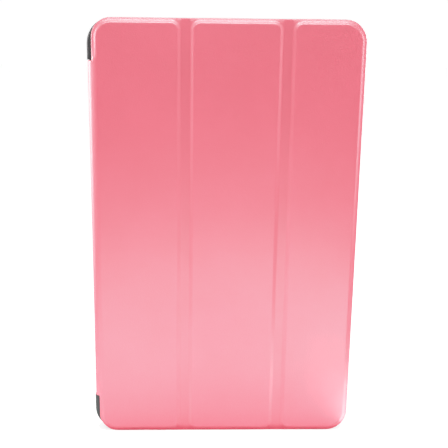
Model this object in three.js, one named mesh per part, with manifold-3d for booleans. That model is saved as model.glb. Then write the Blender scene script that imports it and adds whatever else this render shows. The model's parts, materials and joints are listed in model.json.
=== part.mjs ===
// A tri-fold folio case for a ten-inch tablet, closed and standing upright on its bottom edge.
// Millimetres. X runs across the cover, from the spine (-X) to the free edge (+X), -Y is the front
// and +Z is up. The leather of the cover is one sheet on the real case. It is divided here along its
// crease lines, because each stretch of it moves with another body.

import * as THREE from 'three';
import { mergeVertices } from 'three/addons/utils/BufferGeometryUtils.js';
import Module from 'manifold-3d';

const wasm = await Module();
wasm.setup();

// ---------------------------------------------------------------- driving dimensions

const TABLET = { width: 155.3, height: 254.2, thickness: 8.2, corner: 9 };
const CLEARANCE = 0.25; // between the tablet and the shell's walls, on each side
const WALL = 2.1; // side walls of the shell
const BACK_WALL = 1.7;
const SHELL_CORNER = 15;
const BACK_ROUND = 4; // of the shell's outer edges
const FRONT_ROUND = 1.4;
const TABLET_SLACK = 0.05; // behind the tablet, inside the shell
const LIP = { reach: 1.3, thickness: 0.85 }; // the corners' snap lips, over the tablet's face
const GUARD = { x: 52, z: 98 }; // the walls are full height beyond these distances from the middle
const LOW_WALL_STEP = 1.1; // how much lower the walls are between the corners

const COVER_INSET = 3.3; // from the shell's spine side to the cover's own edge
const COVER_OVERHANG = 2.8; // of the free edge past the shell
const COVER_CORNER = 12.5;
const SHEET = 1.2; // leather and lining together, where there is no board
const RAISE = 1.1; // how far the board lifts the leather
const SLOPE = 1.9; // width of the round that goes down from there
const LEATHER = 0.55;
const LINING = 0.5;
const FLAP_LEATHER = 0.8;
const BOARD = 0.7;
const EDGE_RIM = 1.5; // flat sheet round the boards
const SPINE_RIM = 1.3; // the same, on the spine side
const TURNED_EDGE = 1.5; // leather folded over to the inside, round the lining
const FIT = 0.15; // between layers that are glued on the real case
const AIR = 0.3; // between bodies

const FOLDS = [-23.8, 35.4]; // X of the middle of each fold
const FOLD_HALF = 3.0; // from there to the foot of the raised panel
const CREASE = 2.75; // from there to each crease line
const STRIP_HALF = 105.1; // half the height of the spine, which stops short of the corners
const FLAP_EDGE = -44; // X where the flap on the back ends

const SHOULDER_FRONT = 2.4; // outer radii of the leather round the spine's two corners
const SHOULDER_BACK = 2.9;

const CAMERA = { x: 54, z: 113, length: 26, width: 13, chamfer: 1.1 };
const BUTTONS = { from: 42, to: 94 };
const BOTTOM_PORTS = { width: 84 }; // one cut-out for the charging port and both speakers
const HEADPHONE_JACK = { x: -48, width: 9 };
const PORT_CUT = { floor: 3.35, corner: 1.5 }; // Y where the cut-outs in the walls stop, and their radius

const KEEPER = { x: -66, width: 9, height: 120, thickness: 0.5 };
const MAGNET = { x: 75, width: 5, height: 20, thickness: 0.6, z: 84 };
const WAKE_MAGNET = { x: 74, z: 38, radius: 3.5, thickness: 0.6 };

// ---------------------------------------------------------------- planes and outlines

const SHELL_WIDTH = TABLET.width + 2 * (CLEARANCE + WALL);
const CASE_HEIGHT = TABLET.height + 2 * (CLEARANCE + WALL);
const CASE_WIDTH = SHELL_WIDTH + COVER_OVERHANG;
const HALF_H = CASE_HEIGHT / 2;
const SPINE_X = -CASE_WIDTH / 2;
const FREE_X = CASE_WIDTH / 2;
const SHELL_RIGHT = SPINE_X + SHELL_WIDTH;
const COVER_LEFT = SPINE_X + COVER_INSET;
const TABLET_MIDDLE = SPINE_X + SHELL_WIDTH / 2;

const SHELL_DEPTH = BACK_WALL + TABLET.thickness + TABLET_SLACK + LIP.thickness;
const CASE_DEPTH = SHEET + RAISE + AIR + SHELL_DEPTH;
const FRONT = -CASE_DEPTH / 2;
const BACK = CASE_DEPTH / 2;
const RIM = FRONT + RAISE; // the leather's face between and around the boards
const INSIDE = RIM + SHEET; // the lining's face
const SHELL_FRONT = INSIDE + AIR;
const TABLET_FACE = SHELL_FRONT + LIP.thickness;
const FLOOR = BACK - BACK_WALL;

const BEYOND = 9; // how far a cutting shape goes on past what it cuts

const box = (x0, y0, z0, x1, y1, z1) => {
  const geometry = new THREE.BoxGeometry(x1 - x0, y1 - y0, z1 - z0);
  return geometry.translate((x0 + x1) / 2, (y0 + y1) / 2, (z0 + z1) / 2);
};

const polygon = (points) => new THREE.Shape(points.map(([x, y]) => new THREE.Vector2(x, y)));

// Points along an arc, with angles in degrees.
function arc(centre, radius, from, to, steps = 6) {
  return Array.from({ length: steps + 1 }, (_, i) => {
    const angle = THREE.MathUtils.degToRad(from + ((to - from) * i) / steps);
    return [centre[0] + radius * Math.cos(angle), centre[1] + radius * Math.sin(angle)];
  });
}

// A rectangle in X and Z with one radius for its left corners and another for its right ones.
function outline(x0, x1, halfHeight, left, right) {
  const corner = (x, z, radius, from) => (radius ? arc([x, z], radius, from, from + 90) : [[x, z]]);
  return polygon([
    ...corner(x1 - right, right - halfHeight, right, -90),
    ...corner(x1 - right, halfHeight - right, right, 0),
    ...corner(x0 + left, halfHeight - left, left, 90),
    ...corner(x0 + left, left - halfHeight, left, 180),
  ]);
}

// An outline in X and Z made solid from y0 to y1. With a bevel, both its faces are rounded off.
function slab(shape, y0, y1, bevel = 0, segments = 3, width = bevel) {
  const geometry = new THREE.ExtrudeGeometry(shape, {
    depth: y1 - y0 - 2 * bevel,
    bevelEnabled: bevel > 0,
    bevelThickness: bevel,
    bevelSize: width,
    bevelOffset: -width,
    bevelSegments: segments,
  });
  return geometry.rotateX(Math.PI / 2).translate(0, y1 - bevel, 0);
}

// A section in X and Y made solid over a height that is centred on the middle of the case.
function rail(shape, halfHeight) {
  const geometry = new THREE.ExtrudeGeometry(shape, { depth: 2 * halfHeight, bevelEnabled: false });
  return geometry.translate(0, 0, -halfHeight);
}

// ---------------------------------------------------------------- joining and cutting

function toSolid(geometry) {
  const bare = geometry.clone();
  bare.deleteAttribute('normal');
  bare.deleteAttribute('uv');
  const merged = mergeVertices(bare, 1e-4);
  return new wasm.Manifold(
    new wasm.Mesh({
      numProp: 3,
      vertProperties: new Float32Array(merged.attributes.position.array),
      triVerts: new Uint32Array(merged.index.array),
    }),
  );
}

function toGeometry(solid) {
  const { vertProperties, triVerts } = solid.getMesh();
  const geometry = new THREE.BufferGeometry();
  geometry.setAttribute('position', new THREE.BufferAttribute(vertProperties, 3));
  geometry.setIndex(new THREE.BufferAttribute(triVerts, 1));
  return geometry;
}

const cut = (solid, ...tools) => tools.reduce((rest, g) => rest.subtract(toSolid(g)), solid);

// ---------------------------------------------------------------- materials

const finish = (color, roughness, metalness = 0) => ({ color, roughness, metalness });
const FINISHES = {
  leather: finish(0xf0798c, 0.45),
  lining: finish(0xe9b7bf, 0.95),
  shell: finish(0x3a3437, 0.4),
  board: finish(0x9a968e, 0.8),
  steel: finish(0xa9acb0, 0.35, 1),
  magnet: finish(0xc4c6c8, 0.25, 1),
};

const tabletCase = new THREE.Group();
tabletCase.position.z = HALF_H;

function add(name, shape, material) {
  const geometry = shape.isBufferGeometry ? shape : toGeometry(shape);
  const mesh = new THREE.Mesh(geometry, new THREE.MeshStandardMaterial(FINISHES[material]));
  mesh.name = name;
  tabletCase.add(mesh);
}

// ---------------------------------------------------------------- back shell

// A large round towards the back, and a small one at the front.
function trayBody() {
  const whole = outline(SPINE_X, SHELL_RIGHT, HALF_H, SHELL_CORNER, SHELL_CORNER);
  const roundBack = slab(whole, SHELL_FRONT - BEYOND, BACK, BACK_ROUND, 4);
  const roundFront = slab(whole, SHELL_FRONT, BACK + BEYOND, FRONT_ROUND, 2);
  return toSolid(roundBack).intersect(toSolid(roundFront));
}

function tabletBay() {
  const x0 = SPINE_X + WALL;
  const x1 = SHELL_RIGHT - WALL;
  const half = HALF_H - WALL;
  const { reach } = LIP;
  const corner = TABLET.corner + CLEARANCE;
  const mouth = outline(x0 + reach, x1 - reach, half - reach, corner - reach, corner - reach);
  return [
    slab(outline(x0, x1, half, corner, corner), TABLET_FACE, FLOOR),
    slab(mouth, SHELL_FRONT - BEYOND, TABLET_FACE + 1),
  ];
}

// Between the corner guards the walls are lower, and have no lip.
function lowWalls() {
  const top = SHELL_FRONT + LOW_WALL_STEP;
  const x0 = TABLET_MIDDLE - GUARD.x;
  const x1 = TABLET_MIDDLE + GUARD.x;
  return [
    box(x0, SHELL_FRONT - BEYOND, -HALF_H - BEYOND, x1, top, HALF_H + BEYOND),
    box(TABLET_MIDDLE, SHELL_FRONT - BEYOND, -GUARD.z, SHELL_RIGHT + BEYOND, top, GUARD.z),
  ];
}

// On the spine side there is no wall between the corner guards, so that the leather lies against
// the tablet, and the back is thinner where the flap is glued on.
function spineOpening() {
  const flapSeat = BACK - FLAP_LEATHER - AIR;
  const bayFloor = FLOOR - TABLET_SLACK;
  const outside = SPINE_X - BEYOND;
  const front = SHELL_FRONT - BEYOND;
  const rampFront = SPINE_X + 2.5;
  const rampBack = SPINE_X + 3.8;
  const flapEnd = FLAP_EDGE + AIR;
  const section = polygon([
    [outside, front],
    [SPINE_X + 6, front],
    [SPINE_X + 6, bayFloor],
    [rampFront, bayFloor],
    [rampBack, flapSeat],
    [flapEnd, flapSeat],
    [flapEnd, BACK + BEYOND],
    [outside, BACK + BEYOND],
  ]);
  return rail(section, STRIP_HALF + AIR);
}

function cameraOpening() {
  const { x, z, length, width, chamfer } = CAMERA;
  const pill = (grow) => {
    const half = width / 2 + grow;
    const corner = 0.9 * half;
    return outline(x - length / 2 - grow, x + length / 2 + grow, half, corner, corner);
  };
  const hole = slab(pill(0), FLOOR - BEYOND, BACK + BEYOND);
  const sloped = slab(pill(2), BACK - chamfer, BACK + 3, 1.5, 1);
  return [hole, sloped].map((g) => g.translate(0, 0, z));
}

// A cut-out through a wall, open towards the front and rounded at its bottom corners.
function wallCut(width) {
  const reach = 3 * WALL;
  const { floor, corner } = PORT_CUT;
  const shape = outline(-width / 2, width / 2, BEYOND, corner, corner);
  const geometry = new THREE.ExtrudeGeometry(shape, { depth: reach, bevelEnabled: false });
  return geometry.translate(0, floor - BEYOND, -reach / 2);
}

function portCuts() {
  const wallMiddle = WALL / 2;
  const { from, to } = BUTTONS;
  const buttons = wallCut(to - from).rotateY(Math.PI / 2);
  const jackX = TABLET_MIDDLE + HEADPHONE_JACK.x;
  return [
    wallCut(BOTTOM_PORTS.width).translate(TABLET_MIDDLE, 0, wallMiddle - HALF_H),
    wallCut(HEADPHONE_JACK.width).translate(jackX, 0, HALF_H - wallMiddle),
    buttons.translate(SHELL_RIGHT - wallMiddle, 0, (from + to) / 2),
  ];
}

const cuts = [...tabletBay(), ...lowWalls(), spineOpening(), ...cameraOpening(), ...portCuts()];
const tray = cut(trayBody(), ...cuts);

// The tray is one moulding on the real case. Here its back is one node, with the root of the rim
// round the tablet's seat, and the rest of the rim is divided into the corners that hold the tablet
// and the lower walls between them.
const RIM_ROOT = 0.6;
const ROOT_FRONT = FLOOR - RIM_ROOT;
const RIM_BACK = ROOT_FRONT - FIT;
const GUARD_LEFT = TABLET_MIDDLE - GUARD.x;
const GUARD_RIGHT = TABLET_MIDDLE + GUARD.x;
const FAR = CASE_HEIGHT;
const SEAM = FIT / 2;

const part = (x0, y0, z0, x1, y1, z1) => tray.intersect(toSolid(box(x0, y0, z0, x1, y1, z1)));
const rimPart = (x0, z0, x1, z1) => part(x0, -FAR, z0, x1, RIM_BACK, z1);

add('back_shell', part(-FAR, ROOT_FRONT, -FAR, FAR, FAR, FAR), 'shell');
for (const [name, z0, z1] of [['upper', GUARD.z + SEAM, FAR], ['lower', -FAR, -GUARD.z - SEAM]]) {
  add(`shell_corner_${name}_spine`, rimPart(-FAR, z0, GUARD_LEFT - SEAM, z1), 'shell');
  add(`shell_corner_${name}_free`, rimPart(GUARD_RIGHT + SEAM, z0, FAR, z1), 'shell');
  add(`shell_wall_${name}`, rimPart(GUARD_LEFT + SEAM, z0, GUARD_RIGHT - SEAM, z1), 'shell');
}
add('shell_wall_free', rimPart(TABLET_MIDDLE, SEAM - GUARD.z, FAR, GUARD.z - SEAM), 'shell');

// ---------------------------------------------------------------- spine and flap

const FRONT_SHOULDER = [COVER_LEFT, RIM + SHOULDER_FRONT];
const SPINE_FACE = COVER_LEFT - SHOULDER_FRONT;
const BACK_SHOULDER = [SPINE_FACE + SHOULDER_BACK, BACK - SHOULDER_BACK];
const BACK_CREASE = 136; // degrees round each shoulder, where its crease line is
const FRONT_CREASE = 225;
const HALF_GAP = 3; // degrees left open on either side of a crease line

// The leather glued to the back, up to the crease at the spine's back corner.
function flapSection() {
  const [x] = BACK_SHOULDER;
  return polygon([
    [FLAP_EDGE, BACK],
    [x, BACK],
    ...arc(BACK_SHOULDER, SHOULDER_BACK, 90, BACK_CREASE - HALF_GAP).slice(1),
    ...arc(BACK_SHOULDER, SHOULDER_BACK - FLAP_LEATHER, BACK_CREASE - HALF_GAP, 90),
    [FLAP_EDGE, BACK - FLAP_LEATHER],
  ]);
}

function spineSection() {
  const outer = [
    ...arc(BACK_SHOULDER, SHOULDER_BACK, BACK_CREASE + HALF_GAP, 180),
    ...arc(FRONT_SHOULDER, SHOULDER_FRONT, 180, FRONT_CREASE - HALF_GAP),
  ];
  const inner = [
    ...arc(FRONT_SHOULDER, SHOULDER_FRONT - LEATHER, FRONT_CREASE - HALF_GAP, 180),
    ...arc(BACK_SHOULDER, SHOULDER_BACK - LEATHER, 180, BACK_CREASE + HALF_GAP),
  ];
  return polygon([...outer, ...inner]);
}

function spineLining() {
  const x = SPINE_FACE + LEATHER + FIT;
  const front = FRONT_SHOULDER[1] + 0.3;
  const back = BACK_SHOULDER[1] - 0.5;
  const top = STRIP_HALF - TURNED_EDGE;
  return box(x, front, -top, x + 0.9 * LINING, back, top);
}

add('back_flap_leather', rail(flapSection(), STRIP_HALF), 'leather');
add('spine_leather', rail(spineSection(), STRIP_HALF), 'leather');
add('spine_lining', spineLining(), 'lining');

// ---------------------------------------------------------------- cover panels

const BOARD_EDGE = 1.0; // how far inside the foot of the raised panel its board ends
const BOARD_GAP = 0.1; // between the board and the leather that is drawn over it

// Each panel runs from its left to its right limit. The foot is the edge of its raised part.
const fromFold = (x) => ({ left: x + CREASE + FIT, footLeft: x + FOLD_HALF });
const toFold = (x) => ({ right: x - CREASE - FIT, footRight: x - FOLD_HALF });
const PANELS = [
  { left: COVER_LEFT, footLeft: COVER_LEFT + SPINE_RIM, ...toFold(FOLDS[0]) },
  { ...fromFold(FOLDS[0]), ...toFold(FOLDS[1]) },
  { ...fromFold(FOLDS[1]), footRight: FREE_X - EDGE_RIM, right: FREE_X },
];
const OUTER_FOOT_CORNER = COVER_CORNER - EDGE_RIM;
const INNER_FOOT_CORNER = 4;

const isFirst = (panel) => panel === PANELS[0];
const isLast = (panel) => panel === PANELS[2];

// The raised part's outline, drawn in by a distance from its foot.
function footOutline(panel, inset) {
  const left = (isFirst(panel) ? OUTER_FOOT_CORNER : INNER_FOOT_CORNER) - inset;
  const right = (isLast(panel) ? OUTER_FOOT_CORNER : INNER_FOOT_CORNER) - inset;
  const half = HALF_H - EDGE_RIM - inset;
  return outline(panel.footLeft + inset, panel.footRight - inset, half, left, right);
}

function sheetOutline(panel) {
  const left = isFirst(panel) ? COVER_CORNER : 0;
  const right = isLast(panel) ? COVER_CORNER : 0;
  return outline(panel.left, panel.right, HALF_H, left, right);
}

function liningOutline(panel, grow = 0) {
  const inset = TURNED_EDGE - grow;
  const corner = COVER_CORNER - inset;
  const [left, leftCorner] = isFirst(panel) ? [panel.left + inset, corner] : [panel.left - grow, 0];
  const [right, rightCorner] = isLast(panel) ? [panel.right - inset, corner] : [panel.right + grow, 0];
  return outline(left, right, HALF_H - inset, leftCorner, rightCorner);
}

// The first panel's leather goes on round the front corner of the spine, up to the crease there.
function spineTab() {
  const joinX = COVER_LEFT + 0.2;
  const section = polygon([
    [joinX, RIM],
    ...arc(FRONT_SHOULDER, SHOULDER_FRONT, 270, FRONT_CREASE + HALF_GAP),
    ...arc(FRONT_SHOULDER, SHOULDER_FRONT - LEATHER, FRONT_CREASE + HALF_GAP, 270),
    [joinX, RIM + LEATHER],
  ]);
  return rail(section, STRIP_HALF);
}

const BOARD_FRONT = FRONT + LEATHER + BOARD_GAP + FIT;
const BOARD_BACK = BOARD_FRONT + BOARD;

function panelLeather(panel) {
  const raised = slab(footOutline(panel, 0), FRONT, RIM + BEYOND, RAISE, 4, SLOPE);
  const outer = [-CASE_WIDTH, FRONT - BEYOND, -CASE_HEIGHT, CASE_WIDTH, RIM + LEATHER, CASE_HEIGHT];
  let leather = toSolid(slab(sheetOutline(panel), RIM, INSIDE));
  leather = leather.add(toSolid(raised).intersect(toSolid(box(...outer))));
  if (isFirst(panel)) leather = leather.add(toSolid(spineTab()));
  const boardOutline = footOutline(panel, BOARD_EDGE - FIT);
  const boardPocket = slab(boardOutline, BOARD_FRONT - FIT, INSIDE - BOARD_GAP);
  const liningPocket = slab(liningOutline(panel, FIT), INSIDE - LINING - FIT, INSIDE + BEYOND);
  return cut(leather, boardPocket, liningPocket);
}

function upright(x, z, width, height, thickness, grow = 0) {
  const middle = (BOARD_FRONT + BOARD_BACK) / 2;
  const w = width / 2 + grow;
  const h = height / 2 + grow;
  const t = thickness / 2 + grow;
  return box(x - w, middle - t, z - h, x + w, middle + t, z + h);
}

function disc(x, z, radius, thickness) {
  const middle = (BOARD_FRONT + BOARD_BACK) / 2;
  return new THREE.CylinderGeometry(radius, radius, thickness, 32).translate(x, middle, z);
}

// The windows in the boards, in which the magnets and the keeper strip lie.
function boardWindows(panel) {
  const open = 2 * BOARD;
  const grow = AIR;
  if (isFirst(panel)) return [upright(KEEPER.x, 0, KEEPER.width, KEEPER.height, open, grow)];
  if (!isLast(panel)) return [];
  return [
    upright(MAGNET.x, MAGNET.z, MAGNET.width, MAGNET.height, open, grow),
    upright(MAGNET.x, -MAGNET.z, MAGNET.width, MAGNET.height, open, grow),
    disc(WAKE_MAGNET.x, WAKE_MAGNET.z, WAKE_MAGNET.radius + grow, open),
  ];
}

PANELS.forEach((panel, i) => {
  const board = toSolid(slab(footOutline(panel, BOARD_EDGE), BOARD_FRONT, BOARD_BACK));
  add(`cover_leather_${i + 1}`, panelLeather(panel), 'leather');
  add(`panel_board_${i + 1}`, cut(board, ...boardWindows(panel)), 'board');
  add(`cover_lining_${i + 1}`, slab(liningOutline(panel), INSIDE - LINING, INSIDE), 'lining');
});

const keeper = upright(KEEPER.x, 0, KEEPER.width, KEEPER.height, KEEPER.thickness);
add('steel_keeper_strip', keeper, 'steel');
for (const [name, side] of [['upper', 1], ['lower', -1]]) {
  const bar = upright(MAGNET.x, side * MAGNET.z, MAGNET.width, MAGNET.height, MAGNET.thickness);
  add(`closing_magnet_${name}`, bar, 'magnet');
}
const wakeMagnet = disc(WAKE_MAGNET.x, WAKE_MAGNET.z, WAKE_MAGNET.radius, WAKE_MAGNET.thickness);
add('wake_magnet', wakeMagnet, 'magnet');

// ---------------------------------------------------------------- folds between the panels

FOLDS.forEach((middle, i) => {
  const x0 = middle - CREASE + FIT;
  const x1 = middle + CREASE - FIT;
  const turned = HALF_H - TURNED_EDGE;
  const top = turned + FIT;
  const strip = toSolid(box(x0, RIM, -HALF_H, x1, INSIDE, HALF_H));
  const pocket = box(x0 - BEYOND, INSIDE - LINING - FIT, -top, x1 + BEYOND, INSIDE + BEYOND, top);
  const lining = box(x0, INSIDE - LINING, -turned, x1, INSIDE, turned);
  add(`fold_leather_${i + 1}`, cut(strip, pocket), 'leather');
  add(`fold_lining_${i + 1}`, lining, 'lining');
});

export default tabletCase;
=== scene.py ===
import json
import math

import bmesh
import bpy
from mathutils import Matrix, Vector


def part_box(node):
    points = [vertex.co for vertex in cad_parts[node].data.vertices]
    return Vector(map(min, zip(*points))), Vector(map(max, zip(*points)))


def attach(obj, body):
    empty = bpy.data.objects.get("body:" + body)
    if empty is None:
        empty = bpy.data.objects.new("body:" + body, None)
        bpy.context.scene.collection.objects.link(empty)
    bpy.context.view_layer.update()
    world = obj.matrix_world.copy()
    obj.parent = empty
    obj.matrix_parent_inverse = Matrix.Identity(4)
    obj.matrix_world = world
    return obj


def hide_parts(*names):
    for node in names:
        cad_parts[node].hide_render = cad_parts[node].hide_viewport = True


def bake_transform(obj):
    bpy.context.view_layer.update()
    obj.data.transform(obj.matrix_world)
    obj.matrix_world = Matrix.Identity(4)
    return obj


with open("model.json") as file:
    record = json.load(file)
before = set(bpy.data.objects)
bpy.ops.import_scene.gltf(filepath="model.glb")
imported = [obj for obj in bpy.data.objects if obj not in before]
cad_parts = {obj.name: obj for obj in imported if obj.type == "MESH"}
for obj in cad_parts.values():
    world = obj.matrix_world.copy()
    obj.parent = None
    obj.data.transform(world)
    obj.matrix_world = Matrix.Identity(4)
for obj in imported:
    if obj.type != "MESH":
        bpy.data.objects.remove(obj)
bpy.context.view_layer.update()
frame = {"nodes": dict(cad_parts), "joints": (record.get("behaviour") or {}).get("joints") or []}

# Lengths are in millimetres until a mesh is made: x across the cover, y from the front (-) to the
# back (+), z from the surface that the case stands on.
MM = 0.001
SAME_PLACE = 1e-7  # in metres: points of a mesh that are nearer than this become one


def node_box(name):
    """The low and the high corner of a CAD node's box."""
    low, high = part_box(name)
    return [v / MM for v in low], [v / MM for v in high]


def joint_at(name):
    """A point on a joint's axis."""
    found = next(j for j in frame["joints"] if j["name"] == name)
    return [v / MM for v in found["pos_m"]]


# ---------------------------------------------------------------- where things are

COVER_LOW, COVER_HIGH = node_box("cover_leather_2")
HEIGHT = COVER_HIGH[2]
FRONT = COVER_LOW[1]  # face of the raised panels
INSIDE = COVER_HIGH[1]  # face of the lining
RIM = node_box("fold_leather_1")[0][1]  # face of the leather between and around the panels
FREE_X = node_box("cover_leather_3")[1][0]
SPINE_X = node_box("spine_leather")[0][0]
FLAP_LOW, FLAP_HIGH = node_box("back_flap_leather")
PLATE_LOW, PLATE_HIGH = node_box("back_shell")
BACK = PLATE_HIGH[1]
SHELL_LEFT, SHELL_RIGHT = PLATE_LOW[0], PLATE_HIGH[0]
SHELL_FRONT = node_box("shell_corner_upper_free")[0][1]
FOLDS = [
    (joint_at("fold_1")[0] + joint_at("fold_1_second_crease")[0]) / 2,
    (joint_at("fold_2")[0] + joint_at("fold_2_second_crease")[0]) / 2,
]

SHEET = INSIDE - RIM  # leather and lining together
RAISE = RIM - FRONT  # of the panels' faces, by the boards in them
SHOULDER_FRONT = 2.4  # radii of the leather round the spine's two corners, at the hinges
SHOULDER_BACK = 2.9
COVER_LEFT = SPINE_X + SHOULDER_FRONT
SPINE_CORNER, FREE_CORNER = 11.3, 13.1  # radii of the cover's outline
INNER_CORNER = 3.2  # of a panel's raised part, beside a fold
TURNED = 1.5  # leather folded over to the inside
TURNED_AT_FLAP = 1.2
STRIP_LOW, STRIP_HIGH = FLAP_LOW[2], FLAP_HIGH[2]
FLAP_EDGE = FLAP_HIGH[0]
FLAP_LEATHER = 0.8
SEAM = 2.3  # from the middle of a fold to where the panel's leather goes over into the fold's
SPINE_SEAM_X = COVER_LEFT + 0.6  # where the first panel's leather goes under the spine's
SPINE_SEAM_Y = 0.5  # where the spine's front and back leather meet
STEPS = 12  # of a round corner
KEEP_FLAT = (0.8, 3.0)  # how far in from its edge a flat face has rows of its own, to shade flat

# ---------------------------------------------------------------- mesh helpers


def new_mesh(name, points, faces):
    """A smooth object from points in millimetres, without double or loose points."""
    mesh = bpy.data.meshes.new(name)
    mesh.from_pydata([tuple(c * MM for c in p) for p in points], [], faces)
    bm = bmesh.new()
    bm.from_mesh(mesh)
    bmesh.ops.remove_doubles(bm, verts=bm.verts, dist=SAME_PLACE)
    loose = [v for v in bm.verts if not v.link_faces]
    bmesh.ops.delete(bm, geom=loose, context="VERTS")
    bmesh.ops.recalc_face_normals(bm, faces=bm.faces)
    for face in bm.faces:
        face.smooth = True
    bm.to_mesh(mesh)
    bm.free()
    obj = bpy.data.objects.new(name, mesh)
    bpy.context.scene.collection.objects.link(obj)
    return obj


def arc(cx, cy, radius, start, end, steps=STEPS):
    """Points along an arc, with angles in degrees."""
    angles = [math.radians(start + (end - start) * i / steps) for i in range(steps + 1)]
    return [(cx + radius * math.cos(a), cy + radius * math.sin(a)) for a in angles]


def bezier(p0, p1, p2, p3, steps):
    """Points along a cubic curve from p0 to p3."""
    out = []
    for i in range(steps + 1):
        t = i / steps
        k = [(1 - t) ** 3, 3 * t * (1 - t) ** 2, 3 * t * t * (1 - t), t**3]
        out.append(tuple(sum(w * p[j] for w, p in zip(k, (p0, p1, p2, p3))) for j in (0, 1)))
    return out


def ring_faces(count, n, left_out=()):
    """Faces between rings of n points each, without those at left-out pairs of (ring, point)."""
    faces = []
    for r in range(count - 1):
        for i in range(n):
            if (r, i) not in left_out:
                j = (i + 1) % n
                faces.append((r * n + i, r * n + j, (r + 1) * n + j, (r + 1) * n + i))
    return faces


def flip_check(obj, inside_point):
    """Turns the faces over if they look towards a point that is inside the material."""
    mesh = obj.data
    face = max(mesh.polygons, key=lambda p: p.area)
    if (face.center - Vector(inside_point) * MM).dot(face.normal) < 0:
        mesh.flip_normals()
    return obj


# ---------------------------------------------------------------- outlines

PANELS = [
    {"left": COVER_LEFT, "right": FOLDS[0] - SEAM, "left_free": True, "right_free": False},
    {"left": FOLDS[0] + SEAM, "right": FOLDS[1] - SEAM, "left_free": False, "right_free": False},
    {"left": FOLDS[1] + SEAM, "right": FREE_X, "left_free": False, "right_free": True},
]

# How the leather goes down from a board's face: (distance in from the sheet's edge, y).
FALL_STEPS = 12
EDGE_ROUND = SHEET / 2
EDGE_START = -75  # where the round at the edge takes over, in degrees
EDGE_FROM = EDGE_ROUND * (1 - math.cos(math.radians(EDGE_START)))
EDGE_SINK = EDGE_ROUND * (1 + math.sin(math.radians(EDGE_START)))
FREE_FALL = bezier(
    (3.5, FRONT),
    (2.3, FRONT),
    (2.3, FRONT + 0.74 * RAISE),
    (EDGE_FROM, RIM + EDGE_SINK),
    FALL_STEPS,
)
FOLD_FALL = bezier((2.9, FRONT), (2.1, FRONT), (0.8, RIM), (0.0, RIM), FALL_STEPS)
INNER_REACH = INNER_CORNER + FOLD_FALL[0][0]  # radius of that corner down at the sheet

# The wide round between the first panel's face and the spine is a quarter of an ellipse.
ROUND_WIDTH = 6.2
ROUND_MIDDLE = (SPINE_X + ROUND_WIDTH, RIM + SHOULDER_FRONT)
ROUND_X, ROUND_Y = ROUND_MIDDLE[0] - SPINE_X, ROUND_MIDDLE[1] - FRONT


def on_round(angle):
    """A point on that ellipse, with the angle in degrees: 270 is at the panel, 180 at the spine."""
    a = math.radians(angle)
    return ROUND_MIDDLE[0] + ROUND_X * math.cos(a), ROUND_MIDDLE[1] + ROUND_Y * math.sin(a)


SEAM_ANGLE = 180 + math.degrees(math.acos((ROUND_MIDDLE[0] - SPINE_SEAM_X) / ROUND_X))
TUCKED = [(-0.25, 0.2), (-0.4, 0.45)]  # from the seam to under the spine's leather, in x and y


def spine_fall():
    """Down that round as far as the seam, and from there on under the spine's leather."""
    out = []
    down_to_seam = FALL_STEPS - len(TUCKED)
    for i in range(down_to_seam + 1):
        x, y = on_round(270 + (SEAM_ANGLE - 270) * i / down_to_seam)
        out.append((x - COVER_LEFT, y))
    x, y = out[-1]
    return out + [(x + across, y + down) for across, down in TUCKED]


SPINE_FALL = spine_fall()
# Beyond the ends of the spine's leather, the first panel's leather goes over to the fall of a free
# edge, between these two distances. These are its heights there, from the top down.
SPINE_CLEAR, FREE_AGAIN = 0.2, 3
TO_SPINE = [
    STRIP_HIGH + FREE_AGAIN,
    STRIP_HIGH + SPINE_CLEAR,
    STRIP_LOW - SPINE_CLEAR,
    STRIP_LOW - FREE_AGAIN,
]


def rounded_ring(x0, x1, z0, z1, left_r, right_r, steps=STEPS):
    """A rectangle with round corners: lower right, upper right, upper left, lower left."""
    return (
        arc(x1 - right_r, z0 + right_r, right_r, -90, 0, steps)
        + arc(x1 - right_r, z1 - right_r, right_r, 0, 90, steps)
        + arc(x0 + left_r, z1 - left_r, left_r, 90, 180, steps)
        + arc(x0 + left_r, z0 + left_r, left_r, 180, 270, steps)
    )


def square_corner(x, z, to_middle_x, to_middle_z, start):
    """A square corner with as many points as a round one that starts at this angle.

    The points are spread along the two edges that meet there.
    """
    out = []
    for i in range(STEPS + 1):
        a = 2 * i / STEPS - 1
        before, after = max(-a, 0) * INNER_REACH, max(a, 0) * INNER_REACH
        along, side = (before, after) if start in (-90, 90) else (after, before)
        out.append((x + to_middle_x * along, z + to_middle_z * side))
    return out


def beside_spine(panel, x):
    """Points along the panel's spine edge, where its leather changes at the ends of the spine."""
    return [(x, z) for z in TO_SPINE] if panel["left_free"] else []


def sheet_ring(panel, inset):
    """The sheet's outline, drawn in from its free edges only, and square at a fold."""
    r, free_r = SPINE_CORNER - inset, FREE_CORNER - inset
    x0 = panel["left"] + (inset if panel["left_free"] else 0)
    x1 = panel["right"] - (inset if panel["right_free"] else 0)
    z0, z1 = inset, HEIGHT - inset
    if panel["right_free"]:
        lower = arc(x1 - free_r, z0 + free_r, free_r, -90, 0)
        right = lower + arc(x1 - free_r, z1 - free_r, free_r, 0, 90)
    else:
        right = square_corner(x1, z0, -1, 1, -90) + square_corner(x1, z1, -1, -1, 0)
    if panel["left_free"]:
        upper, lower = arc(x0 + r, z1 - r, r, 90, 180), arc(x0 + r, z0 + r, r, 180, 270)
    else:
        upper, lower = square_corner(x0, z1, 1, -1, 90), square_corner(x0, z0, 1, 1, 180)
    return right + upper + beside_spine(panel, x0) + lower


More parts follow.
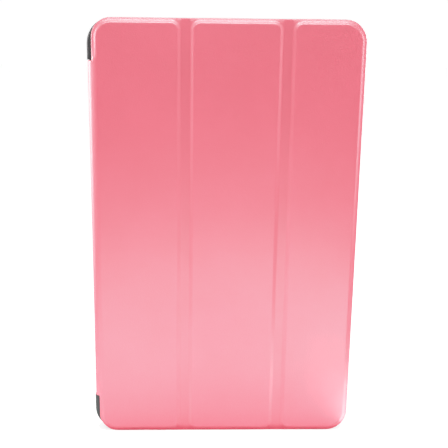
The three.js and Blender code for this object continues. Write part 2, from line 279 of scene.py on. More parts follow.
def fall_ring(panel, step):
    """The panel's leather at one step of its fall, as points of (x, y, z)."""
    free, fold, spine = FREE_FALL[step], FOLD_FALL[step], SPINE_FALL[step]
    left = free if panel["left_free"] else fold
    right = free if panel["right_free"] else fold

    ring = rounded_ring(
        panel["left"] + left[0], panel["right"] - right[0], free[0], HEIGHT - free[0],
        (SPINE_CORNER if panel["left_free"] else INNER_REACH) - left[0],
        (FREE_CORNER if panel["right_free"] else INNER_REACH) - right[0],
    )
    # a corner goes from the depth of one side to the depth of the other
    share = [i / STEPS for i in range(STEPS + 1)]
    depths = (
        [free[1] + (right[1] - free[1]) * t for t in share]
        + [right[1] + (free[1] - right[1]) * t for t in share]
        + [free[1] + (left[1] - free[1]) * t for t in share]
        + [left[1] + (free[1] - left[1]) * t for t in share]
    )
    points = [(x, y, z) for (x, z), y in zip(ring, depths)]
    if panel["left_free"]:
        side = [left, spine, spine, left]
        extra = [(COVER_LEFT + d, y, z) for (d, y), z in zip(side, TO_SPINE)]
        cut = 3 * (STEPS + 1)
        points = points[:cut] + extra + points[cut:]
    return points


PROUD = 0.06  # how far the turned-over leather stands out on the inside


def edge_profile(thickness, turned=TURNED, start=-90):
    """Round a sheet's edge and over to the inside: (inset from the edge, depth behind its face)."""
    r = thickness / 2
    out = []
    for a in range(start, 91, 15):
        angle = math.radians(a)
        out.append((r - r * math.cos(angle), r + r * math.sin(angle)))
    out += [
        (r + 0.25, thickness + 0.7 * PROUD),
        (turned - 0.25, thickness + PROUD),
        (turned - 0.08, thickness + 0.6 * PROUD),
        (turned, thickness - 0.12),
        (turned, thickness - 0.4),
    ]
    return out


# ---------------------------------------------------------------- cover panels


def free_paths(panel):
    """Numbers of the ring's points along each stretch of free edge."""
    per, half = STEPS + 1, STEPS // 2
    between = len(TO_SPINE) if panel["left_free"] else 0
    starts = {"br": 0, "tr": per, "tl": 2 * per, "bl": 3 * per + between}
    corner = {name: list(range(start, start + per)) for name, start in starts.items()}
    if panel["right_free"]:
        return [corner["bl"][half:] + corner["br"] + corner["tr"] + corner["tl"][: half + 1]]
    if panel["left_free"]:
        side = list(range(3 * per, 3 * per + between))
        return [corner["tr"][half:] + corner["tl"] + side + corner["bl"] + corner["br"][: half + 1]]
    lower = corner["bl"][half:] + corner["br"][: half + 1]
    upper = corner["tr"][half:] + corner["tl"][: half + 1]
    return [lower, upper]


def drawn_in(ring, inset):
    """The ring of points at the edge of a flat face, drawn in a little more."""
    x_middle = (ring[0][0] + ring[-1][0]) / 2
    out = []
    for x, y, z in ring:
        to_x = inset if x < x_middle else -inset
        to_z = inset if z < HEIGHT / 2 else -inset
        out.append((x + to_x, y, z + to_z))
    return out


def panel_leather(index):
    """A panel's leather: its raised face, the fall to the sheet, and over the free edges."""
    panel = PANELS[index]
    rings = [drawn_in(fall_ring(panel, 0), inset) for inset in reversed(KEEP_FLAT)]
    rings += [fall_ring(panel, step) for step in range(FALL_STEPS)]
    last_ring = sheet_ring(panel, EDGE_FROM)
    depths = [point[1] for point in fall_ring(panel, FALL_STEPS)]
    rings.append([(x, y, z) for (x, z), y in zip(last_ring, depths)])
    n = len(rings[0])
    points = [p for ring in rings for p in ring]
    faces = [tuple(range(n))] + ring_faces(len(rings), n)
    last = (len(rings) - 1) * n
    profile = edge_profile(SHEET, start=EDGE_START)
    for ids in free_paths(panel):
        previous = [last + i for i in ids]
        for inset, depth in profile[1:]:
            ring = sheet_ring(panel, inset)
            share = (depth - EDGE_SINK) / (SHEET - EDGE_SINK)
            current = list(range(len(points), len(points) + len(ids)))
            for i in ids:
                points.append((ring[i][0], depths[i] + (INSIDE - depths[i]) * share, ring[i][1]))
            for a in range(len(ids) - 1):
                faces.append((previous[a], previous[a + 1], current[a + 1], current[a]))
            previous = current
    middle = ((panel["left"] + panel["right"]) / 2, (RIM + INSIDE) / 2, HEIGHT / 2)
    return flip_check(new_mesh(f"panel_{index + 1}_leather", points, faces), middle)


LINING_FACE = INSIDE - 0.06
# round the lining's edge: how far in from the turned-over leather's end, and y from the face
LINING_EDGE = [(0.04, -0.12), (0.1, -0.03), (0.2, 0.0)]
LINING_GAP = LINING_EDGE[0][0]
PANEL_LINING_DEPTH, STRIP_LINING_DEPTH = 0.45, 0.4  # how far down its edge goes


def panel_lining(index):
    """The lining on the inside of a panel, open at a fold, where the fold's lining goes on."""
    panel = PANELS[index]
    rings = []
    for inset, y in [(LINING_GAP, -PANEL_LINING_DEPTH)] + LINING_EDGE:
        ring = sheet_ring(panel, TURNED + inset)
        rings.append([(x, LINING_FACE + y, z) for x, z in ring])
    edges = len(rings) - 1
    rings += [drawn_in(rings[edges], inset) for inset in KEEP_FLAT]
    n = len(rings[0])
    points = [p for ring in rings for p in ring]
    seams = [panel[side] for side in ("left", "right") if not panel[f"{side}_free"]]
    at_fold = [any(abs(x - seam) < 1e-6 for seam in seams) for x, _, _ in rings[0]]
    folds = [i for i in range(n) if at_fold[i] and at_fold[(i + 1) % n]]
    faces = [tuple(range((len(rings) - 1) * n, len(rings) * n))]
    faces += ring_faces(len(rings), n, {(r, i) for r in range(edges) for i in folds})
    middle = ((panel["left"] + panel["right"]) / 2, RIM, HEIGHT / 2)
    return flip_check(new_mesh(f"panel_{index + 1}_lining", points, faces), middle)


# ---------------------------------------------------------------- leather and lining strips

FLAT_PARTS = 8  # in the height of a strip
FLAT_ROW = KEEP_FLAT[0]
IN_LEATHER, IN_LINING = 0.4, 0.5  # depths at which a point is inside the material


def grid_mesh(name, rows):
    """A mesh over rows of points, all with the same count."""
    n = len(rows[0])
    points = [p for row in rows for p in row]
    faces = []
    for r in range(len(rows) - 1):
        for i in range(n - 1):
            a = r * n + i
            faces.append((a, a + 1, a + n + 1, a + n))
    return new_mesh(name, points, faces)


def rows_between(low, high, depth):
    """Points of a strip's section, evenly spread over its flat part."""
    return [(low + (high - low) * i / FLAT_PARTS, depth) for i in range(1, FLAT_PARTS)]


def sweep(name, path, profile):
    """A section of (height, depth) carried along a path of (x, y, inward x, inward y)."""
    rows = []
    for x, y, nx, ny in path:
        rows.append([(x + nx * d, y + ny * d, z) for z, d in profile])
    return grid_mesh(name, rows)


def leather_strip(name, path, z0, z1, thickness, turned=TURNED):
    """Leather along a path, from one height to another, with its ends turned over."""
    edge = edge_profile(thickness, turned)
    rise = [(z0 + inset, depth) for inset, depth in reversed(edge)]
    fall = [(z1 - inset, depth) for inset, depth in edge]
    low, high = rise[-1][0], fall[0][0]
    flat = [(low + FLAT_ROW, 0.0)] + rows_between(low, high, 0.0) + [(high - FLAT_ROW, 0.0)]
    obj = sweep(name, path, rise + flat + fall)
    x, y, nx, ny = path[len(path) // 2]
    return flip_check(obj, (x + nx * IN_LEATHER, y + ny * IN_LEATHER, (z0 + z1) / 2))


def lining_strip(name, path, z0, z1, depth):
    """The lining behind such a strip, with its face at a depth behind the leather's face."""
    edge = [(LINING_GAP, -STRIP_LINING_DEPTH)] + LINING_EDGE + [(FLAT_ROW, 0.0)]
    profile = [(z0 + inset, depth + sunk) for inset, sunk in edge]
    profile += rows_between(z0 + FLAT_ROW, z1 - FLAT_ROW, depth)
    profile += [(z1 - inset, depth + sunk) for inset, sunk in reversed(edge)]
    obj = sweep(name, path, profile)
    x, y, nx, ny = path[len(path) // 2]
    inside = depth - IN_LINING
    return flip_check(obj, (x + nx * inside, y + ny * inside, (z0 + z1) / 2))


def straight_path(x0, y0, x1, y1, inward, steps):
    """A straight stretch of a strip's path, with one inward direction."""
    out = []
    for i in range(steps + 1):
        t = i / steps
        out.append((x0 + (x1 - x0) * t, y0 + (y1 - y0) * t, *inward))
    return out


def arc_path(cx, cy, radius, start, end, steps):
    """A round stretch of a strip's path: inward is towards the arc's centre."""
    out = []
    for x, y in arc(cx, cy, radius, start, end, steps):
        out.append((x, y, (cx - x) / radius, (cy - y) / radius))
    return out


def dress(obj, slot, *nodes):
    """Hides the CAD nodes that a piece stands in for; the slot is not used."""
    if nodes:
        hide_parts(*nodes)
    return obj


def bend(obj, a, b, start, end):
    """Bakes the piece's place into its mesh; the bodies a and b, start and end are not used."""
    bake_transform(obj)
    return obj


leather_pieces, lining_pieces = [], []
for i in range(len(PANELS)):
    leather, lining = panel_leather(i), panel_lining(i)
    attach(leather, f"panel_{i + 1}")
    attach(lining, f"panel_{i + 1}")
    leather_pieces.append(dress(leather, "cover_leather", f"cover_leather_{i + 1}"))
    lining_pieces.append(dress(lining, "microfibre_lining", f"cover_lining_{i + 1}"))

MID_Z = HEIGHT / 2
LINING_IN = LINING_FACE - RIM  # from the leather's face to the lining's
for k, middle in enumerate(FOLDS, 1):
    for side, panel in (("left", k), ("right", k + 1)):
        sign = -1 if side == "left" else 1
        seam = middle + sign * SEAM
        path = straight_path(seam, RIM, middle, RIM, (0, 1), steps=14)
        leather = leather_strip(f"fold_{k}_leather_{side}", path, 0, HEIGHT, SHEET)
        lining = lining_strip(f"fold_{k}_lining_{side}", path, TURNED, HEIGHT - TURNED, LINING_IN)
        for obj in (leather, lining):
            ends = [(seam, RIM, MID_Z), (middle, RIM, MID_Z)]
            if side == "left":
                bend(obj, f"panel_{panel}", f"fold_strip_{k}", *ends)
            else:
                bend(obj, f"fold_strip_{k}", f"panel_{panel}", *reversed(ends))
        # the left halves stand in for the CAD's whole strips
        leather_node = [f"fold_leather_{k}"] if side == "left" else []
        lining_node = [f"fold_lining_{k}"] if side == "left" else []
        leather_pieces.append(dress(leather, "cover_leather", *leather_node))
        lining_pieces.append(dress(lining, "microfibre_lining", *lining_node))

# ---------------------------------------------------------------- spine

# centres of the rounds at the spine's two corners
FRONT_CENTRE = (COVER_LEFT, RIM + SHOULDER_FRONT)
BACK_CENTRE = (SPINE_X + SHOULDER_BACK, BACK - SHOULDER_BACK)
SPINE_THICKNESS = 1.05
FRONT_ROUND_STEPS = 20
FLAP_ROUND = 0.4  # at the flap's free edge
FLAP_DROP = 0.6  # how far that edge goes down into its seat


def front_shoulder():
    """From the seam on the first panel round to the spine, as a strip's path."""
    inner = SHOULDER_FRONT - SPINE_THICKNESS
    out = []
    for i in range(FRONT_ROUND_STEPS + 1):
        t = i / FRONT_ROUND_STEPS
        x, y = on_round(SEAM_ANGLE + (180 - SEAM_ANGLE) * t)
        a = math.radians(270 - 90 * t)
        in_x, in_y = FRONT_CENTRE[0] + inner * math.cos(a), FRONT_CENTRE[1] + inner * math.sin(a)
        out.append((x, y, (in_x - x) / SPINE_THICKNESS, (in_y - y) / SPINE_THICKNESS))
    return out


def flap_end():
    """Round the flap's free edge and down into its seat, as the end of a strip's path."""
    x0, y0 = FLAP_EDGE - FLAP_ROUND, BACK - FLAP_ROUND
    out = []
    for x, y in arc(0, 0, FLAP_ROUND, 90, 0, steps=6)[1:]:
        out.append((x0 + x, y0 + y, -0.01 * x, -1))
    return out + [(FLAP_EDGE, BACK - FLAP_DROP, 0, -1)]


front_path = (
    front_shoulder()
    + straight_path(SPINE_X, FRONT_CENTRE[1], SPINE_X, SPINE_SEAM_Y, (1, 0), steps=3)[1:]
)
down_spine = straight_path(SPINE_X, SPINE_SEAM_Y, SPINE_X, BACK_CENTRE[1], (1, 0), steps=3)
back_path = (
    down_spine
    + arc_path(*BACK_CENTRE, SHOULDER_BACK, 180, 90, steps=24)[1:]
    + straight_path(BACK_CENTRE[0], BACK, FLAP_EDGE - FLAP_ROUND, BACK, (0, -1), steps=10)[1:]
    + flap_end()
)
front_leather = leather_strip(
    "spine_front_leather", front_path, STRIP_LOW, STRIP_HIGH, SPINE_THICKNESS
)
back_leather = leather_strip(
    "spine_back_leather", back_path, STRIP_LOW, STRIP_HIGH, FLAP_LEATHER, TURNED_AT_FLAP
)

# the spine's lining laps over the first panel's: x from the cover's left end, and how much deeper
LAP = [(TURNED + 0.5, 0.2), (TURNED + 0.2, 0.24), (0.8, 0.24)]
front_lining_path = [(COVER_LEFT + x, RIM, 0, 1 + rise) for x, rise in LAP] + front_path
# at the back it ends part of the way round, inside the shell
back_lining_path = down_spine + arc_path(*BACK_CENTRE, SHOULDER_BACK, 180, 146, steps=8)[1:]
lining_ends = (STRIP_LOW + TURNED, STRIP_HIGH - TURNED, SPINE_THICKNESS)
front_lining = lining_strip("spine_front_lining", front_lining_path, *lining_ends)
back_lining = lining_strip("spine_back_lining", back_lining_path, *lining_ends)

# where the two bends beside the spine start and end
FRONT_BEND = [(SPINE_X, FRONT_CENTRE[1] + 0.5, MID_Z), (SPINE_SEAM_X, RIM, MID_Z)]
BACK_BEND = [(BACK_CENTRE[0] - 1.2, BACK + 0.1, MID_Z), (SPINE_X, BACK_CENTRE[1] - 0.6, MID_Z)]
for obj in (front_leather, front_lining):
    bend(obj, "spine", "panel_1", *FRONT_BEND)
for obj in (back_leather, back_lining):
    bend(obj, "shell", "spine", *BACK_BEND)
leather_pieces += [
    dress(front_leather, "cover_leather", "spine_leather"),
    dress(back_leather, "cover_leather", "back_flap_leather"),
]
lining_pieces += [
    dress(front_lining, "microfibre_lining", "spine_lining"),
    dress(back_lining, "microfibre_lining"),
]

# ---------------------------------------------------------------- shell

WALL = 2.1
LIP_REACH = 1.3  # how far the lip goes over the tablet's face
LIP = 0.85
FLOOR = BACK - 1.7
SHELL_CORNER = 15.0
BAY_CORNER = 9.25
TABLET_FACE = SHELL_FRONT + LIP
TABLET_MIDDLE = (SHELL_LEFT + SHELL_RIGHT) / 2
GUARD_X, GUARD_Z = 52.0, 98.0  # from the middle to where the four corner guards begin
LOW_WALL = SHELL_FRONT + 1.1  # where the walls between the guards end
PORT_FLOOR = BACK - 3.35  # how far down the cut-outs in the walls go
BEYOND = 9.0  # how far a cutter stands out of the shell
FRONT_ROUND, BACK_ROUND = 1.4, 4.0  # round the tray's front and back edges
CORNER_STEPS = 24
FLAP_GAP = 0.3  # round the leather flap in its seat

CAMERA_X, CAMERA_Z = 54.0, HEIGHT / 2 + 113.0
CAMERA_HALF_LENGTH, CAMERA_HALF_WIDTH = 13, 6.5
CAMERA_ROUND = 0.9  # radius of its ends, over its half width
# the camera opening's edge from the inside out: how much larger it is, and y
CAMERA_EDGE = [
    (0.0, FLOOR - 2), (0.0, BACK - 1.1), (0.35, BACK - 0.62), (1.1, BACK), (2.0, BACK + 0.6),
]

NOTCH_ROUND = 1.5
NOTCH_REACH = 3.2
# cut-outs for ports and buttons: x, z, width, and the axis that the wall runs along
NOTCHES = [
    (TABLET_MIDDLE, WALL / 2, 84, "x"),
    (TABLET_MIDDLE - 48, HEIGHT - WALL / 2, 9, "x"),
    (SHELL_RIGHT - WALL / 2, HEIGHT / 2 + 68, 52, "z"),
]


def solid_rings(name, rings):
    """A solid between its first and last ring of points."""
    n = len(rings[0])
    points = [p for ring in rings for p in ring]
    faces = [tuple(range(n)), tuple(range((len(rings) - 1) * n, len(rings) * n))]
    return new_mesh(name, points, faces + ring_faces(len(rings), n))


def prism_y(outline, y0, y1):
    """An outline in x and z made solid from y0 to y1."""
    return solid_rings("cutter", [[(x, y, z) for x, z in outline] for y in (y0, y1)])


def prism_z(section, z0, z1):
    """A section in x and y made solid from z0 to z1."""
    return solid_rings("cutter", [[(x, y, z) for x, y in section] for z in (z0, z1)])


def box_cutter(x0, y0, z0, x1, y1, z1):
    """A box between two corners."""
    return prism_y([(x0, z0), (x1, z0), (x1, z1), (x0, z1)], y0, y1)


def tray_body():
    """The shell's outside as one solid, with round edges at the front and the back."""
    section = []
    for a in range(0, 91, 15):
        s, c = math.sin(math.radians(a)), math.cos(math.radians(a))
        section.append((FRONT_ROUND * (1 - s), SHELL_FRONT + FRONT_ROUND * (1 - c)))
    for a in range(0, 91, 9):
        s, c = math.sin(math.radians(a)), math.cos(math.radians(a))
        section.append((BACK_ROUND * (1 - c), BACK - BACK_ROUND + BACK_ROUND * s))
    rings = []
    for inset, y in section:
        r = SHELL_CORNER - inset
        left, right = SHELL_LEFT + inset, SHELL_RIGHT - inset
        ring = rounded_ring(left, right, inset, HEIGHT - inset, r, r, CORNER_STEPS)
        rings.append([(x, y, z) for x, z in ring])
    return solid_rings("shell", rings)


def bay_outline(inset):
    """The outline of the tablet's bay, or of the lip's mouth when it is drawn in."""
    wall, r = WALL + inset, BAY_CORNER - inset
    return rounded_ring(
        SHELL_LEFT + wall, SHELL_RIGHT - wall, wall, HEIGHT - wall, r, r, CORNER_STEPS
    )


def spine_section():
    """What is cut away at the spine: the wall, and a seat in the back for the leather flap."""
    seat, flap = BACK - FLAP_LEATHER - FLAP_GAP, FLAP_EDGE + FLAP_GAP
    outside, front, back = SHELL_LEFT - BEYOND, SHELL_FRONT - BEYOND, BACK + BEYOND
    wall_end, just_above_floor = SHELL_LEFT + 6, FLOOR - 0.05
    return [
        (outside, front),
        (wall_end, front),
        (wall_end, just_above_floor),
        (SHELL_LEFT + 2.5, just_above_floor),  # from here a slope leads to the seat
        (SHELL_LEFT + 3.8, seat),
        (flap, seat),
        (flap, back),
        (outside, back),
    ]


def camera_ring(grow, y):
    """The camera opening's outline at one depth, larger all round by grow."""
    half = CAMERA_HALF_WIDTH + grow
    left = CAMERA_X - CAMERA_HALF_LENGTH - grow
    right = CAMERA_X + CAMERA_HALF_LENGTH + grow
    r = CAMERA_ROUND * half
    outline = rounded_ring(left, right, CAMERA_Z - half, CAMERA_Z + half, r, r, steps=16)
    return [(x, y, z) for x, z in outline]


def wall_notch(x_middle, z_middle, width, along):
    """A cut-out through a wall, open to the front, with round corners at its floor."""
    w, r, front = width / 2, NOTCH_ROUND, SHELL_FRONT - BEYOND
    shape = (
        [(-w, front), (w, front)]
        + arc(w - r, PORT_FLOOR - r, r, 0, 90, steps=8)
        + arc(r - w, PORT_FLOOR - r, r, 90, 180, steps=8)
    )
    rings = []
    for offset in (-NOTCH_REACH, NOTCH_REACH):
        if along == "x":
            rings.append([(x_middle + u, y, z_middle + offset) for u, y in shape])
        else:
            rings.append([(x_middle + offset, y, z_middle + u) for u, y in shape])
    return solid_rings("cutter", rings)


def shell_cutters():
    """All that is cut out of the tray."""
    front = SHELL_FRONT - BEYOND
    left, right = TABLET_MIDDLE - GUARD_X, TABLET_MIDDLE + GUARD_X
    bottom, top = HEIGHT / 2 - GUARD_Z, HEIGHT / 2 + GUARD_Z
    return [
        prism_y(bay_outline(0), TABLET_FACE, FLOOR),
        prism_y(bay_outline(LIP_REACH), front, TABLET_FACE + 1),
        box_cutter(left, front, -BEYOND, right, LOW_WALL, HEIGHT + BEYOND),
        box_cutter(TABLET_MIDDLE, front, bottom, SHELL_RIGHT + BEYOND, LOW_WALL, top),
        prism_z(spine_section(), STRIP_LOW - FLAP_GAP, STRIP_HIGH + FLAP_GAP),
        solid_rings("cutter", [camera_ring(grow, y) for grow, y in CAMERA_EDGE]),
        *[wall_notch(*notch) for notch in NOTCHES],
    ]


def carve(body, cutters):
    """Cuts the cutters out of a body, and removes them."""
    for cutter in cutters:
        modifier = body.modifiers.new("cut", "BOOLEAN")
        modifier.operation = "DIFFERENCE"
        modifier.solver = "EXACT"
        modifier.object = cutter
    depsgraph = bpy.context.evaluated_depsgraph_get()
    mesh = bpy.data.meshes.new_from_object(body.evaluated_get(depsgraph))
    body.modifiers.clear()
    body.data = mesh
    for cutter in cutters:
        bpy.data.objects.remove(cutter)
    return body


def crisp(obj, angle=32):
    """Keeps flat faces flat and rounds smooth, with sharp edges where faces meet at an angle."""
    obj.data.set_sharp_from_angle(angle=math.radians(angle))
    modifier = obj.modifiers.new("normals", "WEIGHTED_NORMAL")
    modifier.keep_sharp = True
    modifier.weight = 100
    depsgraph = bpy.context.evaluated_depsgraph_get()
    mesh = bpy.data.meshes.new_from_object(obj.evaluated_get(depsgraph))
    obj.modifiers.clear()
    obj.data = mesh
    return obj


shell = crisp(carve(tray_body(), shell_cutters()))
shell.name = "moulded_shell"
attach(shell, "shell")
dress(shell, "shell_plastic", "back_shell", *[n for n in frame["nodes"] if n.startswith("shell_")])

# ---------------------------------------------------------------- materials


class Nodes:
    """A short way to write a node tree."""

    def __init__(self, name):
        self.material = bpy.data.materials.new(name)
        self.material.use_nodes = True
        self.tree = self.material.node_tree
        self.tree.nodes.clear()
        out = self.tree.nodes.new("ShaderNodeOutputMaterial")
        self.shader = self.tree.nodes.new("ShaderNodeBsdfPrincipled")
        self.tree.links.new(self.shader.outputs[0], out.inputs[0])

    def add(self, kind, inputs=None, **settings):
        """A new node with its inputs and settings."""
        node = self.tree.nodes.new(kind)
        for key, value in settings.items():
            setattr(node, key, value)
        for key, value in (inputs or {}).items():
            self.set(node.inputs[key], value)
        return node

    def set(self, socket, value):
        """Links a socket to another one, or gives it a constant."""
        if isinstance(value, bpy.types.NodeSocket):
            self.tree.links.new(value, socket)
        else:
            socket.default_value = value

    def position(self, stretch=(1, 1, 1)):
        """Object coordinates in millimetres, drawn out along an axis where stretch is small."""
        coordinates = self.add("ShaderNodeTexCoord").outputs["Object"]
        scale = tuple(s / MM for s in stretch)
        mapping = self.add("ShaderNodeMapping", {"Vector": coordinates, "Scale": scale})
        return mapping.outputs[0]

    def noise(self, vector, scale, detail=3.0, roughness=0.5):
        """Noise around 0.5, with its scale per millimetre."""
        inputs = {"Vector": vector, "Scale": scale, "Detail": detail, "Roughness": roughness}
        return self.add("ShaderNodeTexNoise", inputs).outputs["Fac"]

    def math(self, operation, a, b):
        """The result of a sum or product."""
        return self.add("ShaderNodeMath", {0: a, 1: b}, operation=operation).outputs[0]

    def span(self, value, low, high, to_low=0.0, to_high=1.0):
        """A value between low and high, carried over to between two others."""
        names = ("Value", "From Min", "From Max", "To Min", "To Max")
        inputs = dict(zip(names, (value, low, high, to_low, to_high)))
        return self.add("ShaderNodeMapRange", inputs).outputs[0]

    def mix(self, factor, a, b):
        """A mix of two colours."""
        node = self.add("ShaderNodeMix", data_type="RGBA")
        sockets = [s for s in node.inputs if s.type == "RGBA"] + [node.inputs[0]]
        for socket, value in zip(sockets, (a, b, factor)):
            self.set(socket, value)
        return next(s for s in node.outputs if s.type == "RGBA")

    def bump(self, height, strength, depth):
        """The surface's direction, roughened by a height, with the depth in millimetres."""
        inputs = {"Strength": strength, "Distance": depth * MM, "Height": height}
        return self.add("ShaderNodeBump", inputs).outputs[0]

    def shade(self, values):
        """Gives the shader its values, and returns the material."""
        for key, value in values.items():
            self.set(self.shader.inputs[key], value)
        return self.material


def rgba(r, g, b):
    """A display colour, 0 to 255, as scene-linear values."""

    def linear(c):
        c /= 255
        return c / 12.92 if c <= 0.04045 else ((c + 0.055) / 1.055) ** 2.4

    return (linear(r), linear(g), linear(b), 1.0)


def leather_material():
    """Smooth pink imitation leather: a silky grain with small cells."""
    n = Nodes("pink_faux_leather")
    at = n.position()
    across = n.noise(n.position((0.35, 1, 1)), 3.2, 2.0)
    up = n.noise(n.position((1, 1, 0.35)), 3.2, 2.0)
    voronoi = n.add("ShaderNodeTexVoronoi", {"Vector": at, "Scale": 1.5}, feature="SMOOTH_F1")
    silk = n.math("ADD", across, up)
    grain = n.math("ADD", n.math("MULTIPLY", silk, 0.6), voronoi.outputs["Distance"])
    blotch = n.noise(at, 0.03, 3.0)
    base = n.mix(n.span(blotch, 0.35, 0.65), rgba(164, 42, 64), rgba(167, 45, 67))
    fine = n.span(grain, 0.7, 1.5)
    in_grain = n.mix(0.06, base, rgba(161, 40, 62))
    return n.shade({
        "Base Color": n.mix(fine, in_grain, base),
        "Roughness": n.span(grain, 0.7, 1.5, 0.5, 0.4),
        "Normal": n.bump(grain, 0.35, 0.12),
        "Specular IOR Level": 0.5,
        "Sheen Weight": 0.15,
        "Sheen Roughness": 0.4,
        "Sheen Tint": (1.0, 0.85, 0.9, 1.0),
    })


def lining_material():
    """Paler pink microfibre: a fine nap, brushed up and down, with soft patches."""
    n = Nodes("pink_microfibre")
    at = n.position()
    nap = n.noise(at, 4.0, 4.0, 0.65)
    brushed = n.noise(n.position((1, 1, 0.2)), 1.2, 3.0)
    patch = n.noise(at, 0.05, 2.0)
    shade = n.math("ADD", n.math("MULTIPLY", nap, 0.5), n.math("MULTIPLY", brushed, 0.5))
    colour = n.mix(n.span(shade, 0.3, 0.7), rgba(160, 84, 98), rgba(182, 104, 117))
    return n.shade({
        "Base Color": n.mix(n.span(patch, 0.35, 0.65, 0.0, 0.18), colour, rgba(190, 118, 130)),
        "Roughness": 0.95,
        "Normal": n.bump(shade, 0.5, 0.15),
        "Sheen Weight": 0.3,
        "Sheen Roughness": 0.5,
    })


def shell_material():
    """Dark moulded plastic with a fine satin texture."""
    n = Nodes("dark_moulded_plastic")
    at = n.position()
    texture = n.noise(at, 5.0, 2.0, 0.6)
    swirl = n.noise(at, 0.08, 3.0)
    return n.shade({
        "Base Color": n.mix(n.span(swirl, 0.3, 0.7), rgba(34, 32, 33), rgba(38, 36, 37)),
        "Roughness": n.span(texture, 0.3, 0.7, 0.42, 0.55),
        "Normal": n.bump(texture, 0.25, 0.06),
        "Specular IOR Level": 0.15,
    })


def board_material():
    """Pressed grey board with upright fibres, under the leather."""
    n = Nodes("pressed_board")
    at = n.position()
    fibres = n.noise(n.position((1, 1, 0.15)), 1.6, 5.0, 0.7)
    return n.shade({
        "Base Color": n.mix(fibres, rgba(120, 112, 100), rgba(176, 168, 154)),
        "Normal": n.bump(fibres, 0.4, 0.1),
        "Roughness": n.span(n.noise(at, 2.0), 0.3, 0.7, 0.75, 0.95),
    })


def metal_material(name, colour, roughness, brush):
    """Bare metal with fine lines, drawn out along an axis where brush is small."""
    n = Nodes(name)
    lines = n.noise(n.position(brush), 6.0, 3.0, 0.6)
    brighter = tuple(c * 1.25 for c in colour[:3]) + (1.0,)
    return n.shade({
        "Base Color": n.mix(lines, colour, brighter),
        "Metallic": 1.0,
        "Roughness": n.span(lines, 0.3, 0.7, roughness - 0.08, roughness + 0.08),
        "Normal": n.bump(lines, 0.2, 0.03),
    })


def paint(obj, material):
    """Gives an object one material."""
    obj.data.materials.clear()
    obj.data.materials.append(material)


LEATHER, LINING = leather_material(), lining_material()
for obj in leather_pieces:
    paint(obj, LEATHER)
for obj in lining_pieces:
    paint(obj, LINING)
paint(shell, shell_material())
BOARD = board_material()
MAGNET = metal_material("nickel_magnet", (0.55, 0.55, 0.54, 1.0), 0.3, (1, 1, 1))
STEEL = metal_material("keeper_steel", (0.42, 0.43, 0.44, 1.0), 0.4, (1, 1, 0.05))
for name, obj in frame["nodes"].items():
    if name.startswith("panel_board"):
        paint(obj, BOARD)
    elif "magnet" in name:
        paint(obj, MAGNET)
    elif name == "steel_keeper_strip":
        paint(obj, STEEL)

# ---------------------------------------------------------------- floor, light, camera

FLOOR_HALF = 6000.0  # from its middle to its edges


def floor_material():
    """Matt, nearly white paper."""
    n = Nodes("studio_floor")
    at = n.position()
    soft = n.noise(at, 0.01, 2.0)
    darker, lighter = (0.975, 0.975, 0.975, 1), (0.985, 0.985, 0.985, 1)
    return n.shade({"Base Color": n.mix(n.span(soft, 0.3, 0.7), darker, lighter), "Roughness": 0.9})


def make_floor():
    """The surface that the case stands on."""
    s = FLOOR_HALF
    ring = [(-s, -s), (s, -s), (s, s), (-s, s)]
    obj = new_mesh("studio_floor", [(x, y, 0.0) for x, y in ring], [(0, 1, 2, 3)])
    if obj.data.polygons[0].normal.z < 0:
        obj.data.flip_normals()
    paint(obj, floor_material())


make_floor()


def area_light(name, location, target, size, power, colour=(1, 1, 1)):
    """A rectangular light that looks at its target."""
    light = bpy.data.lights.new(name, "AREA")
    light.shape = "RECTANGLE"
    light.size, light.size_y = size
    light.energy = power
    light.color = colour
    obj = bpy.data.objects.new(name, light)
    bpy.context.scene.collection.objects.link(obj)
    obj.location = location
    obj.rotation_euler = (Vector(target) - Vector(location)).to_track_quat("-Z", "Y").to_euler()
    return obj


def gloss_light(name, location, target, size, power, colour=(1, 1, 1)):
    """A light that shows in the gloss of the case only."""
    obj = area_light(name, location, target, size, power, colour)
    obj.visible_camera = False
    obj.visible_diffuse = False
    return obj


# Places and sizes of lights are in metres, and their powers in watts.
MIDDLE = (0, 0, 0.13)  # of the case


def around(azimuth, elevation, distance=1.0):
    """A place beside the middle of the case: azimuth 0 is in front of it, 90 to its right."""
    a, e = math.radians(azimuth), math.radians(elevation)
    level = distance * math.cos(e)
    return (level * math.sin(a), -level * math.cos(a), MIDDLE[2] + distance * math.sin(e))


# name, place, what it looks at, size and power
SOFTBOXES = [
    ("top_softbox", (0.05, -0.12, 1.0), (0.0, -0.05, 0.0), (0.6, 0.6), 4.5),
    ("left_softbox", (-1.0, -0.12, 0.4), MIDDLE, (0.4, 0.8), 9),
    ("right_softbox", (1.0, -0.12, 0.4), MIDDLE, (0.4, 0.8), 7),
]
for softbox in SOFTBOXES:
    area_light(*softbox)

STRIP_LONG, STRIP_WIDE = 0.9, 0.28
HIGH_ELEVATION, HIGH_POWER = 50, 34
high_place = around(0, HIGH_ELEVATION)
gloss_light("high_strip", high_place, MIDDLE, (STRIP_LONG, STRIP_WIDE), HIGH_POWER)
SIDE_ELEVATION = 8
# name, azimuth and power
SIDE_STRIPS = [
    ("left", -90, 35),
    ("left_front", -70, 8),
    ("right_front", 66, 6),
    ("right", 90, 9),
    ("rear_right", 120, 21),
]
for name, azimuth, power in SIDE_STRIPS:
    place = around(azimuth, SIDE_ELEVATION)
    gloss_light(name + "_strip", place, MIDDLE, (STRIP_WIDE, STRIP_LONG), power)

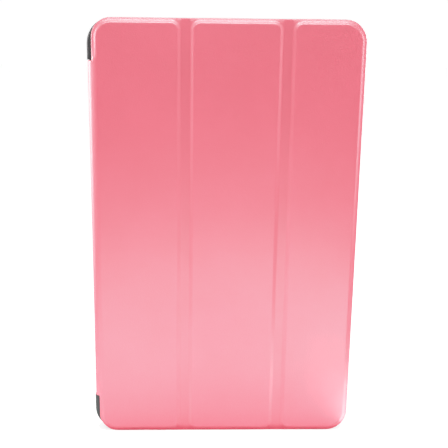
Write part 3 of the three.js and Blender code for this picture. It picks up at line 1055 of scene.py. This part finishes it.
# the sheen of the lit floor in front of the case: y, depth, and the power in each column
FLOOR_GLOW = [
    (-0.014, 0.014, (0.03, 0.03, 0.05)),
    (-0.035, 0.03, (0.09, 0.09, 0.13)),
    (-0.08, 0.05, (0.2, 0.2, 0.09)),
    (-0.14, 0.06, (0.22, 0.24, 0.12)),
    (-0.22, 0.08, (0.5, 0.62, 0.42)),
    (-0.34, 0.12, (0.25, 0.35, 0.26)),
]
GLOW_COLUMNS = [(-0.12, 0.14), (0.02, 0.14), (0.115, 0.07)]  # x and width
GLOW_HEIGHT = 0.002
GLOW_COLOUR = (0.86, 1.06, 1.03)
for y, depth, powers in FLOOR_GLOW:
    spread = 1 + 0.5 * abs(y)  # the rows get wider towards the front
    for (x, width), power in zip(GLOW_COLUMNS, powers):
        place = (x * spread, y, GLOW_HEIGHT)
        above = (x * spread, y, 1.0)
        gloss_light("floor_glow", place, above, (width * spread, depth), power, GLOW_COLOUR)

SKY_STRENGTH = 1.25
world = bpy.data.worlds.new("studio")
world.use_nodes = True
background = world.node_tree.nodes["Background"]
background.inputs["Color"].default_value = (1.0, 1.0, 1.0, 1.0)
background.inputs["Strength"].default_value = SKY_STRENGTH
bpy.context.scene.world = world

FOCAL_RATIO = 780.0 / 448.0  # focal length over the picture's width


def make_camera():
    """The view of the photographed case: a little from above, and turned slightly to the right."""
    data = bpy.data.cameras.new("camera")
    data.sensor_width = 36.0
    data.lens = FOCAL_RATIO * data.sensor_width
    data.shift_x = 0.038
    data.clip_start = 0.01
    data.clip_end = 50.0
    obj = bpy.data.objects.new("camera", data)
    bpy.context.scene.collection.objects.link(obj)
    # from the case's axes to the camera's (x right, y down, z ahead): turned, then moved in mm
    rx, ry, rz = 0.238363, -0.027505, 0.00339
    to_camera = (
        Matrix.Rotation(rz, 3, "Z") @ Matrix.Rotation(ry, 3, "Y") @ Matrix.Rotation(rx, 3, "X")
    )
    shift = Vector((12.026, 8.308, 475.62))
    basis = Matrix(((1, 0, 0), (0, 0, -1), (0, 1, 0)))
    origin = Vector((1.65, FRONT, HEIGHT / 2))
    centre = basis.transposed() @ (-(to_camera.transposed() @ shift)) + origin
    right = basis.transposed() @ to_camera.transposed() @ Vector((1, 0, 0))
    down = basis.transposed() @ to_camera.transposed() @ Vector((0, 1, 0))
    ahead = basis.transposed() @ to_camera.transposed() @ Vector((0, 0, 1))
    rotation = Matrix((right, -down, -ahead)).transposed()
    obj.matrix_world = Matrix.Translation(centre * MM) @ rotation.to_4x4()
    bpy.context.scene.camera = obj


make_camera()

# The tone curve: brighter middle tones, and a shoulder that holds the brightest ones back.
COMBINED = 3  # after the curves for red, green and blue
WHITE_LEVEL = 1.22
SHOULDER = [
    (0.0, 0.0), (0.2, 0.23), (0.45, 0.51), (0.7, 0.765), (0.85, 0.87), (1.0, 0.93),
    (1.12, 0.945), (1.19, 0.96), (1.22, 1.0),
]


def soften_highlights():
    """Plain display colours, with the brightest tones rolled off as a camera does."""
    view = bpy.context.scene.view_settings
    view.view_transform = "Standard"
    view.look = "None"
    view.use_curve_mapping = True
    mapping = view.curve_mapping
    mapping.white_level = (WHITE_LEVEL,) * 3
    mapping.clip_max_x = 1.0
    curve = mapping.curves[COMBINED]
    for i, (x, y) in enumerate(SHOULDER):
        if i in (0, len(SHOULDER) - 1):
            curve.points[-1 if i else 0].location = (x / WHITE_LEVEL, y)
        else:
            curve.points.new(x / WHITE_LEVEL, y)
    for point in curve.points:
        point.handle_type = "VECTOR"
    mapping.update()


soften_highlights()
